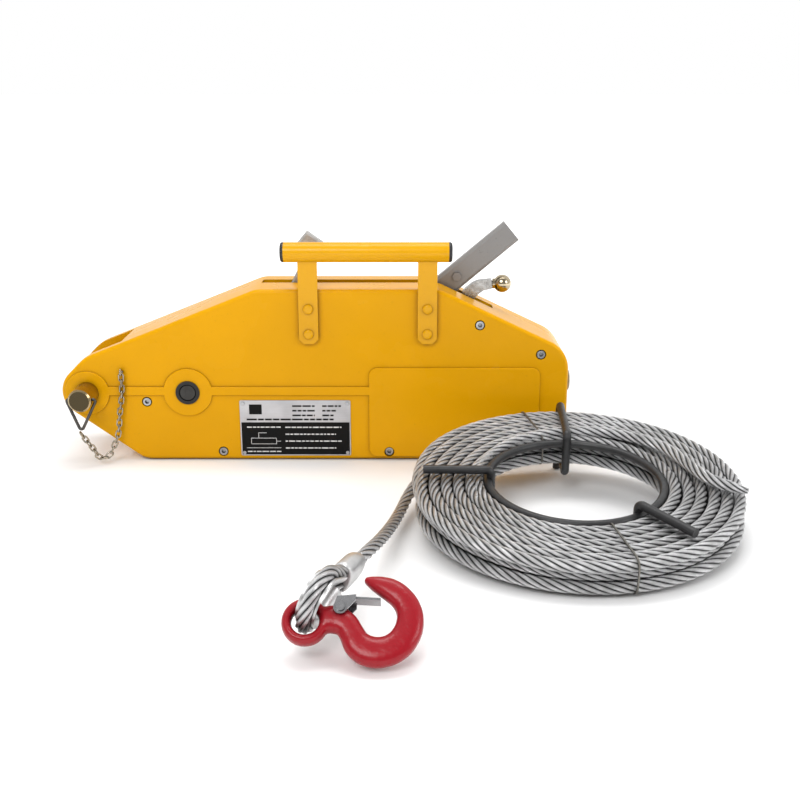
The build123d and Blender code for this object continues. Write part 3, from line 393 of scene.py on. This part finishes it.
def rough_casting(name, colour, roughness, metallic, depth=0.0006):
    """Sand-cast skin: two scales of pitting under a thin finish."""
    mat, tree, shader = new_material(name)
    coords = object_coords(tree)
    shader.inputs["Metallic"].default_value = metallic
    coarse = noise(tree, coords, 190.0, 5.0, 0.65)
    blotches = noise(tree, coords, 30.0, 3.0)
    pits = remap(tree, coarse, 0.3, 0.65, 0, 1)
    shade = mix_colours(tree, pits, tinted(colour, 0.62), tinted(colour, 1.12))
    shade = mix_colours(tree, remap(tree, blotches, 0.4, 0.7, 0, 0.5), shade, tinted(colour, 0.8))
    # painted shade: the casting darkens in corners and gaps near other surfaces
    shade = painted_gap_shade(tree, shade, tinted(colour, 0.15), 0.004, 0.9, 0.85)
    tree.links.new(shade, shader.inputs["Base Color"])
    gloss = remap(tree, coarse, 0.3, 0.7, roughness + 0.1, roughness - 0.05)
    tree.links.new(gloss, shader.inputs["Roughness"])
    bump(tree, shader, coarse, depth)
    return mat


def moulded(name, colour, roughness, texture=500.0, depth=0.0001, specular=0.4):
    """Plastic or rubber with a fine moulded texture."""
    mat, tree, shader = new_material(name)
    coords = object_coords(tree)
    fine = noise(tree, coords, texture, 3.0)
    base = mix_colours(tree, remap(tree, fine, 0.35, 0.65, 0, 1), tinted(colour, 0.8), tinted(colour, 1.35))
    tree.links.new(base, shader.inputs["Base Color"])
    tree.links.new(remap(tree, fine, 0.3, 0.7, roughness, roughness + 0.12), shader.inputs["Roughness"])
    shader.inputs["Specular IOR Level"].default_value = specular
    bump(tree, shader, fine, depth)
    return mat


def wire_rope_material():
    """Galvanised strands: painted shade in the valleys between strands, between the fine wires and in gaps
    near other surfaces; fine wires, dull zinc bloom.
    """
    mat, tree, shader = new_material("galvanised_rope")
    strand = add_node(tree, "ShaderNodeUVMap", uv_map="strand").outputs["UV"]
    wires = add_node(tree, "ShaderNodeUVMap", uv_map="wires").outputs["UV"]
    across = add_node(tree, "ShaderNodeSeparateXYZ")
    tree.links.new(strand, across.inputs[0])
    phase = math_node(tree, "FRACT", across.outputs["X"])
    crown = math_node(tree, "SINE", math_node(tree, "MULTIPLY", phase, pi))
    along = add_node(tree, "ShaderNodeSeparateXYZ")
    tree.links.new(wires, along.inputs[0])
    ripple = math_node(tree, "SINE", math_node(tree, "MULTIPLY", along.outputs["X"], 2 * pi))
    ripple = remap(tree, ripple, -1.0, 1.0, 0.0, 1.0)
    coords = object_coords(tree)
    bloom = noise(tree, coords, 60.0, 4.0)
    zinc = mix_colours(tree, remap(tree, bloom, 0.35, 0.7, 0, 1), (0.86, 0.86, 0.87), (0.52, 0.52, 0.52))
    # painted shade in the troughs between wires, then in the valleys between strands
    zinc = mix_colours(tree, remap(tree, ripple, 0.0, 0.5, 0.5, 0.0), zinc, (0.10, 0.10, 0.10))
    shade = mix_colours(tree, remap(tree, crown, 0.12, 0.80, 1.0, 0.0), zinc, (0.012, 0.012, 0.012))
    # painted shade in gaps near other surfaces
    shade = painted_gap_shade(tree, shade, (0.02, 0.02, 0.02), 0.007, 0.62, 0.92)
    tree.links.new(shade, shader.inputs["Base Color"])
    shader.inputs["Metallic"].default_value = 0.9
    tree.links.new(remap(tree, bloom, 0.3, 0.7, 0.27, 0.42), shader.inputs["Roughness"])
    bump(tree, shader, ripple, 0.0004, 0.7)
    return mat


YELLOW = (0.70, 0.335, 0.001)
LOOKS = {
    # slot: (kind of surface, its values)
    "casing_yellow": (enamel, dict(colour=YELLOW)),
    "handle_yellow": (enamel, dict(colour=(0.70, 0.345, 0.001), roughness=0.24, coat=0.16, specular=0.16)),
    "bright_screws": (bare_metal, dict(colour=(0.42, 0.43, 0.45), roughness=0.24, stain=0.5)),
    "plate_metal": (bare_metal, dict(
        colour=(0.50, 0.50, 0.52), roughness=0.36, grain=(40.0, 900.0, 900.0), stain=0.15,
    )),
    "black_plastic": (moulded, dict(colour=(0.016, 0.016, 0.017), roughness=0.38)),
    "black_rubber": (moulded, dict(colour=(0.010, 0.010, 0.010), roughness=0.45)),
    "guide_brass": (rough_casting, dict(
        colour=(0.30, 0.22, 0.10), roughness=0.35, metallic=1.0, depth=0.0002,
    )),
    "pin_zinc": (bare_metal, dict(
        colour=(0.46, 0.36, 0.20), roughness=0.2, grain=(500.0, 60.0, 500.0), stain=0.4, dark_ends=True,
    )),
    "clip_steel": (bare_metal, dict(colour=(0.10, 0.095, 0.09), roughness=0.35, stain=0.4)),
    "chain_nickel": (bare_metal, dict(colour=(0.46, 0.42, 0.34), roughness=0.22, stain=0.5)),
    "stud_steel": (bare_metal, dict(
        colour=(0.060, 0.058, 0.055), roughness=0.40, grain=(900.0, 900.0, 60.0), stain=0.5,
    )),
    "lever_grey": (enamel, dict(
        colour=(0.225, 0.218, 0.212), roughness=0.4, coat=0.1, peel=0.0002, dust=0.12, specular=0.4,
    )),
    "mech_steel": (bare_metal, dict(
        colour=(0.42, 0.42, 0.43), roughness=0.32, grain=(120.0, 700.0, 700.0), stain=0.35,
    )),
    "bush_bronze": (bare_metal, dict(colour=(0.52, 0.36, 0.16), roughness=0.38)),
    "lever_cast": (rough_casting, dict(colour=(0.46, 0.45, 0.435), roughness=0.42, metallic=0.25)),
    "lever_zinc": (rough_casting, dict(
        colour=(0.36, 0.35, 0.335), roughness=0.24, metallic=1.0, depth=0.0003,
    )),
    "knob_brass": (bare_metal, dict(colour=(0.50, 0.42, 0.29), roughness=0.16, stain=0.4)),
    "reel_black": (rough_casting, dict(
        colour=(0.017, 0.017, 0.018), roughness=0.36, metallic=0.0, depth=0.0003,
    )),
    "tie_wire": (bare_metal, dict(colour=(0.20, 0.19, 0.17), roughness=0.42)),
    "ferrule_alu": (bare_metal, dict(
        colour=(0.60, 0.60, 0.60), roughness=0.44, grain=(180.0, 60.0, 180.0), depth=0.0002,
    )),
    "thimble_zinc": (bare_metal, dict(colour=(0.62, 0.62, 0.62), roughness=0.34)),
    "hook_red": (enamel, dict(
        colour=(0.30, 0.003, 0.010), roughness=0.27, coat=0.12, peel=0.0003, dust=0.06, specular=0.3,
    )),
    "latch_zinc": (bare_metal, dict(colour=(0.34, 0.34, 0.35), roughness=0.22, grain=(500.0, 60.0, 500.0))),
}
MATERIALS = {name: make(name, **values) for name, (make, values) in LOOKS.items()}
MATERIALS["rope_wire"] = wire_rope_material()


def paint_cad_nodes():
    """Every CAD node takes the material of its slot in the record; the shear pin is painted over."""
    for entry in frame["record"]["subparts"]:
        node = frame["nodes"][entry["node"]]
        look = "lever_grey" if entry["node"] == "shear_pin" else entry["material_slot"]
        node.data.materials.clear()
        node.data.materials.append(MATERIALS[look])


paint_cad_nodes()

# ---- wire rope ------------------------------------------------------------------------------------
ROPE_D = 0.011
ROPE_R = ROPE_D / 2
STRANDS = 6
STRAND_R = ROPE_R / 3
LAY_LENGTH = 0.066
SECTION_ANGLES = (-76, -38, 0, 38, 76)
WIRES_ROUND = 54

COIL_CENTRE = Vector((0.249, -0.220, 0.0))
COIL_R_OUT = 0.1505
COIL_TILT = radians(6.4)
COIL_T = 0.0315
COIL_CENTRE.z = COIL_R_OUT * sin(COIL_TILT) + 0.0024


def coil_place(x, y, z):
    """A point given in the coil's own tilted plane."""
    up = Vector((0, -sin(COIL_TILT), cos(COIL_TILT)))
    back = Vector((0, cos(COIL_TILT), sin(COIL_TILT)))
    return COIL_CENTRE + Vector((1, 0, 0)) * x + back * y + up * z


def rope_section(scale):
    """The outline of six strands round a core, as (radius, angle, strand phase)."""
    outline = []
    for strand in range(STRANDS):
        middle = 2 * pi * strand / STRANDS
        for step, angle in enumerate(SECTION_ANGLES):
            x = 2 * STRAND_R + STRAND_R * cos(radians(angle))
            y = STRAND_R * sin(radians(angle))
            outline.append((sqrt(x * x + y * y) * scale, middle + atan2(y, x), strand + (step + 0.5) / 5))
    return outline


def rope_mesh(name, points, taper_from=None):
    """Stranded rope along points; the radius shrinks past taper_from, a distance from the end."""
    total = line_length(points)
    travelled = 0.0
    vertices = []
    travel = []
    outline = rope_section(1.0)
    sides = len(outline)
    for index, (place, (tangent, normal, binormal)) in enumerate(zip(points, frames_along(points))):
        if index:
            travelled += (place - points[index - 1]).length
        scale = 1.0
        if taper_from is not None and total - travelled < taper_from:
            scale = 0.55 + 0.45 * (total - travelled) / taper_from
        travel.append(travelled)
        twist = 2 * pi * travelled / LAY_LENGTH
        for radius, angle, phase in outline:
            turn = angle + twist
            vertices.append(place + (normal * cos(turn) + binormal * sin(turn)) * radius * scale)
    faces = ring_faces(len(points), sides, False)
    rope = add_piece(name, vertices, faces, "machine", MATERIALS["rope_wire"])
    strand_map = rope.data.uv_layers.new(name="strand")
    wire_map = rope.data.uv_layers.new(name="wires")
    for face in rope.data.polygons:
        wraps = {v % sides for v in face.vertices} == {0, sides - 1}
        for loop in face.loop_indices:
            vertex = rope.data.loops[loop].vertex_index
            side = vertex % sides
            lap = 1.0 if wraps and side == 0 else 0.0
            along = travel[vertex // sides]
            around = side / sides + lap
            strand_map.data[loop].uv = (outline[side][2] + lap * STRANDS, along)
            wire_map.data[loop].uv = ((around + along / LAY_LENGTH) * WIRES_ROUND, along)
    return rope


# the rope runs from its ferrule in a shallow fall to the coil and round it
FERRULE_DIR = Vector((-0.38, -0.925, 0.0)).normalized()
EYE_START = Vector((0.0449, -0.4081, 0.0385))
FERRULE_LENGTH = 0.034
FERRULE_END = EYE_START - FERRULE_DIR * FERRULE_LENGTH
TAIL_LEAVES = 150.0
TAIL_POINTS = [
    FERRULE_END, Vector((0.0653, -0.3584, 0.0385)), Vector((0.0735, -0.325, 0.032)),
    Vector((0.083, -0.272, 0.022)), Vector((0.0905, -0.228, 0.017)), Vector((0.099, -0.190, 0.021)),
]
TOP_LAYER = 0.0251
# each layer of the coil: first radius, way the turns step, number of turns, height
LAYERS = [(0.1450, -1, 6, 0.0055), (0.0955, 1, 5, 0.0153), (0.1450, -1, 6, TOP_LAYER)]
TURN_POINTS = 14
STEP_STARTS = 0.82  # share of a turn after which the rope moves over to the next one
POLYGON_GROWTH = 1 / cos(pi / TURN_POINTS)
END_POINTS = [
    (0.086, 0.056), (0.100, 0.028), (0.109, -0.002), (0.119, -0.022), (0.133, -0.034), (0.1455, -0.0415),
]
TOP_LINE = COIL_T + ROPE_R


def coil_turn_table():
    """Radius and height of each whole turn, from the outside in, out, and in again."""
    table = []
    for first, way, count, height in LAYERS:
        for turn in range(count):
            table.append((first + way * turn * ROPE_D, height))
    return table


def coil_control_points():
    table = coil_turn_table()
    wobble = [
        (random.uniform(0, 2 * pi), random.uniform(0, 2 * pi), random.uniform(0.4, 1.0)) for _ in table
    ]
    points = []
    steps = len(table) * TURN_POINTS
    for step in range(steps):
        turn, part = divmod(step, TURN_POINTS)
        here = table[turn]
        after = table[min(turn + 1, len(table) - 1)]
        share = max(0.0, (part / TURN_POINTS - STEP_STARTS) / (1 - STEP_STARTS))
        share = share * share * (3 - 2 * share)
        radius = here[0] + (after[0] - here[0]) * share
        height = here[1] + (after[1] - here[1]) * share
        angle = radians(TAIL_LEAVES) - 2 * pi * step / TURN_POINTS
        first, second, size = wobble[turn]
        fade = min(1.0, part / 4, (TURN_POINTS - part) / 4)
        radius += 0.0013 * size * sin(2 * angle + first) * fade
        height += 0.0006 * size * sin(angle + second) * fade
        radius *= POLYGON_GROWTH
        points.append(coil_place(radius * cos(angle), radius * sin(angle), height))
    climb = 4
    for step in range(climb):
        angle = radians(TAIL_LEAVES - 117.0 * step / climb)
        share = step / climb
        radius = (0.090 + 0.0126 * share) * (1 + 0.02 * (1 - share))
        height = TOP_LAYER + (TOP_LINE - TOP_LAYER) * share
        points.append(coil_place(radius * cos(angle), radius * sin(angle), height))
    return points


def make_rope():
    route = TAIL_POINTS + coil_control_points() + [coil_place(x, y, TOP_LINE) for x, y in END_POINTS]
    line = spaced(curve_points("rope_route", route, "NURBS", 14), 0.0042)
    rope = rope_mesh("wire_rope", line, taper_from=0.016)
    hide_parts("rope_tail", "rope_coil", "rope_end")
    return rope, line


rope, rope_line = make_rope()

# ---- rope eye and ferrule ----------------------------------------------------------------------
HOOK_TILT = radians(40.0)
HOOK_NORMAL = Vector((0, -sin(HOOK_TILT), cos(HOOK_TILT)))
LOOP_UP = (HOOK_NORMAL - FERRULE_DIR * HOOK_NORMAL.dot(FERRULE_DIR)).normalized()
LOOP_NORMAL = FERRULE_DIR.cross(LOOP_UP)
STRAND_OFFSET = 0.0059


def loop_place(x, y):
    return EYE_START + FERRULE_DIR * x + LOOP_UP * y


def make_rope_eye():
    """The rope's end led round the thimble and back into the ferrule, as control points."""
    across = 1.055
    route = [
        (-0.004, STRAND_OFFSET - 0.001), (0.006, STRAND_OFFSET + 0.0022), (0.018, 0.0145),
        (0.029, 0.0192 * across), (0.041, 0.0200 * across), (0.0505, 0.0163 * across),
        (0.0565, 0.0075 * across), (0.0565, -0.0075 * across), (0.0505, -0.0163 * across),
        (0.041, -0.0200 * across), (0.029, -0.0192 * across), (0.018, -0.0145),
        (0.006, -STRAND_OFFSET - 0.0022), (-0.004, -STRAND_OFFSET + 0.001),
    ]
    line = spaced(curve_points("eye_route", [loop_place(x, y) for x, y in route], "NURBS", 16), 0.0022)
    eye = rope_mesh("rope_eye_strands", line)
    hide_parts("rope_eye")
    return eye


def make_ferrule():
    """Pressed sleeve: oval, with rounded ends and a faint flash line on each side."""
    stations = [
        # distance along, half thickness, half width
        (0.0000, 0.0056, 0.0058), (0.0004, 0.0062, 0.0066), (0.0030, 0.0070, 0.0080),
        (0.0080, 0.0080, 0.0104), (0.0130, 0.0084, 0.0120), (0.0200, 0.0085, 0.0123),
        (0.0300, 0.0085, 0.0124), (0.0330, 0.0083, 0.0122), (0.0339, 0.0077, 0.0116),
        (0.0340, 0.0070, 0.0108),
    ]
    sides = 40
    vertices = []
    for along, thick, wide in stations:
        for side in range(sides):
            angle = 2 * pi * side / sides
            power = 0.82
            x = abs(cos(angle)) ** power * (1 if cos(angle) >= 0 else -1)
            y = abs(sin(angle)) ** power * (1 if sin(angle) >= 0 else -1)
            flash = 0.0004 if side in (0, sides // 2) else 0.0
            rise = wide * x + (flash if x > 0 else -flash)
            centre = FERRULE_END + FERRULE_DIR * along
            vertices.append(centre + LOOP_UP * rise + LOOP_NORMAL * thick * y)
    sleeve = add_piece("pressed_ferrule", vertices, ring_faces(len(stations), sides, False), "machine",
                       MATERIALS["ferrule_alu"])
    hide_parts("ferrule")
    return sleeve


rope_eye = make_rope_eye()
ferrule = make_ferrule()

# ---- hook --------------------------------------------------------------------------------------------
HOOK_EYE = Vector((0.0228, -0.4549, 0.0272))
HOOK_BACK = Vector((0, cos(HOOK_TILT), sin(HOOK_TILT)))


def hook_place(x, y, z=0.0):
    """A point in the hook's own plane, in metres from its eye's centre."""
    return HOOK_EYE + Vector((1, 0, 0)) * x + HOOK_BACK * y + HOOK_NORMAL * z


HOOK_BODY = [
    # x, y, half width in mm, from the neck round the bowl to the blunt tip
    (13, 1.5, 9.2), (21, 2.0, 10.0), (28.5, -1.5, 9.2), (32.9, -8, 9.0), (38.0, -16.8, 10.2),
    (45.7, -21.4, 10.9), (54.5, -22.0, 10.8), (63.7, -18.5, 10.6), (70.9, -10.7, 10.4), (74.4, 0, 9.9),
    (73.2, 9.8, 9.3), (68.2, 18.2, 8.8), (61.7, 23.6, 8.4), (54.4, 27.3, 7.0), (48.6, 29.7, 5.1),
    (44.6, 31.3, 3.3), (41.8, 32.4, 1.9),
]


def make_hook():
    """Forged hook: an oval bar of changing width swept round the bowl, and a ring for its eye."""
    # a smooth line through the stations carries the width as its third coordinate
    stations = curve_points("hook_stations", [Vector(station) / 1000 for station in HOOK_BODY], "BEZIER", 6)
    sides = 28
    vertices = []
    for index, station in enumerate(stations):
        before = stations[max(index - 1, 0)]
        after = stations[min(index + 1, len(stations) - 1)]
        heading = Vector((after.x - before.x, after.y - before.y, 0)).normalized()
        across = Vector((-heading.y, heading.x, 0))
        thick = 0.0074 * min(1.0, station.z / 0.0085) ** 0.6
        for side in range(sides):
            angle = 2 * pi * side / sides
            flat = abs(cos(angle)) ** 0.82 * (1 if cos(angle) >= 0 else -1)
            rise = abs(sin(angle)) ** 0.72 * (1 if sin(angle) >= 0 else -1)
            spot = Vector((station.x, station.y, 0)) + across * station.z * flat
            vertices.append(hook_place(spot.x, spot.y, thick * rise))
    faces = ring_faces(len(stations), sides, False)
    first = len(vertices)
    around = 64
    for step in range(around):
        angle = 2 * pi * step / around
        for side in range(sides):
            tube = 2 * pi * side / sides
            radius = 0.0135 + 0.0036 * abs(cos(tube)) ** 0.85 * (1 if cos(tube) >= 0 else -1)
            height = 0.0066 * abs(sin(tube)) ** 0.8 * (1 if sin(tube) >= 0 else -1)
            vertices.append(hook_place(radius * cos(angle), radius * sin(angle), height))
    faces += ring_faces(around, sides, True, first)
    hook = add_piece("forged_hook", vertices, faces, None, MATERIALS["hook_red"])
    for kind, values in (
        ("REMESH", {"mode": "VOXEL", "voxel_size": 0.0007, "use_smooth_shade": True}),
        ("SMOOTH", {"factor": 0.6, "iterations": 22}),
    ):
        modifier = hook.modifiers.new(kind.lower(), kind)
        for key, value in values.items():
            setattr(modifier, key, value)
    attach(hook, "hook")
    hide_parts("hook")
    return hook


hook = make_hook()

# ---- retaining chain, which reaches from the eye screw to the spring clip ---------------------------
LINK_LENGTH = 0.010
LINK_WIDTH = 0.0066
LINK_WIRE_R = 0.00085
LINK_PITCH = 0.0063


def make_chain():
    clip_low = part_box("spring_clip")[0]
    eye_low, eye_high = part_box("chain_eye")
    eye_x = (eye_low[0] + eye_high[0]) / 2
    top_y = eye_low[1] + 0.0042
    start = Vector((-0.2436, -0.067, clip_low[2] - 0.0051))
    route = [
        start, Vector((-0.235, -0.062, 0.020)), Vector((-0.226, -0.057, 0.0075)),
        Vector((-0.213, -0.051, 0.024)), Vector((-0.207, -0.0485, 0.056)),
        Vector((eye_x - 0.0002, top_y, 0.079)), Vector((eye_x, top_y, 0.0935)),
    ]
    line = curve_points("chain_route", route, "BEZIER", 24)
    total = line_length(line)
    count = int(total / LINK_PITCH) + 1
    count += 1 - count % 2
    spots = spaced(line, total / count * 0.99999)
    vertices = []
    faces = []
    bend = LINK_WIDTH / 2 - LINK_WIRE_R
    straight = (LINK_LENGTH - LINK_WIDTH) / 2
    for index in range(count + 1):
        here = spots[min(index, len(spots) - 1)]
        after = spots[min(index + 1, len(spots) - 1)]
        before = spots[max(index - 1, 0)]
        heading = (after - before).normalized()
        broad = (Vector((0, 1, 0)) - heading * heading.y).normalized()
        if (count - index) % 2:
            broad = heading.cross(broad)
        broad.rotate(Matrix.Rotation(random.uniform(-0.12, 0.12), 3, heading))
        side = broad.cross(heading)
        path = []
        for step in range(20):
            angle = 2 * pi * step / 20
            shift = straight if cos(angle) >= 0 else -straight
            path.append(here + heading * (shift + bend * cos(angle)) + side * bend * sin(angle))
        more, joined = tube_parts(path, LINK_WIRE_R, 8, True, len(vertices))
        vertices += more
        faces += joined
    chain = add_piece("link_chain", vertices, faces, None, MATERIALS["chain_nickel"])
    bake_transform(chain)
    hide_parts("retaining_chain")


make_chain()

# ---- nameplate print: generic fields, rules and a plain diagram -------------------------------------
PRINT_BLACK = moulded(
    "print_black", (0.004, 0.004, 0.004), 0.42, texture=900.0, depth=0.00002, specular=0.12
)
PRINT_WHITE = moulded("print_white", (0.62, 0.62, 0.62), 0.45, texture=900.0, depth=0.00002)


def flat_boxes(name, boxes, front_y, thickness, material):
    """Thin printed rectangles on the nameplate, given as (x0, z0, x1, z1) in metres."""
    vertices = []
    faces = []
    for x0, z0, x1, z1 in boxes:
        first = len(vertices)
        for y in (front_y, front_y - thickness):
            vertices += [Vector((x0, y, z0)), Vector((x1, y, z0)), Vector((x1, y, z1)), Vector((x0, y, z1))]
        faces += [
            (first, first + 1, first + 2, first + 3), (first + 4, first + 7, first + 6, first + 5),
            (first, first + 4, first + 5, first + 1), (first + 1, first + 5, first + 6, first + 2),
            (first + 2, first + 6, first + 7, first + 3), (first + 3, first + 7, first + 4, first),
        ]
    piece = add_piece(name, vertices, faces, "machine", material, smooth=False)
    return piece


def word_bars(x0, x1, z, height, longest):
    """A row of short bars with gaps, which stands for a line of print."""
    bars = []
    x = x0
    while x < x1 - 0.001:
        length = random.uniform(0.35, 1.0) * longest
        bars.append((x, z, min(x + length, x1), z + height))
        x += length + 0.0011
    return bars


PLATE_EDGE = 0.0012
FIELD_THICK = 0.00008
LETTER_THICK = 0.00005


def make_nameplate_print():
    low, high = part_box("nameplate")
    face = low[1]
    x0, x1 = low[0], high[0]
    z0, z1 = low[2], high[2]
    middle = z0 + 0.0375
    field = (x0 + PLATE_EDGE, z0 + PLATE_EDGE, x1 - PLATE_EDGE, middle)
    flat_boxes("plate_lower_field", [field], face, FIELD_THICK, PRINT_BLACK)
    dark = [(x0 + 0.010, z1 - 0.0155, x0 + 0.0235, z1 - 0.0045)]
    for row in range(3):
        z = z1 - 0.0072 - 0.0052 * row
        dark += word_bars(x0 + 0.056, x0 + 0.080, z, 0.0018, 0.010)
        dark += word_bars(x0 + 0.088, x0 + 0.108 - 0.004 * row, z, 0.0018, 0.008)
    dark += word_bars(x0 + 0.007, x0 + 0.100, z1 - 0.0222, 0.0019, 0.012)
    flat_boxes("plate_dark_print", dark, face, FIELD_THICK, PRINT_BLACK)
    pale = word_bars(x0 + 0.007, x0 + 0.043, middle - 0.0060, 0.0013, 0.007)
    for row in range(4):
        right_end = x1 - 0.010 - 0.006 * (row % 2)
        pale += word_bars(x0 + 0.048, right_end, middle - 0.0062 - 0.0078 * row, 0.0013, 0.007)
    pale += word_bars(x0 + 0.007, x0 + 0.043, z0 + 0.0040, 0.0012, 0.007)
    line = 0.0005
    left, right, under, over = x0 + 0.011, x0 + 0.038, z0 + 0.013, z0 + 0.0195
    pale += [
        (left, under, right, under + line), (left, over, right, over + line),
        (left, under, left + line, over), (right, under, right + line, over),
        (x0 + 0.006, z0 + 0.0085, x0 + 0.043, z0 + 0.0085 + line),
        (left + 0.008, over, left + 0.0085, over + 0.006),
        (left + 0.008, over + 0.006, left + 0.017, over + 0.0065),
        (right, under + 0.003, x0 + 0.043, under + 0.0035),
    ]
    flat_boxes("plate_pale_print", pale, face - FIELD_THICK, LETTER_THICK, PRINT_WHITE)


make_nameplate_print()
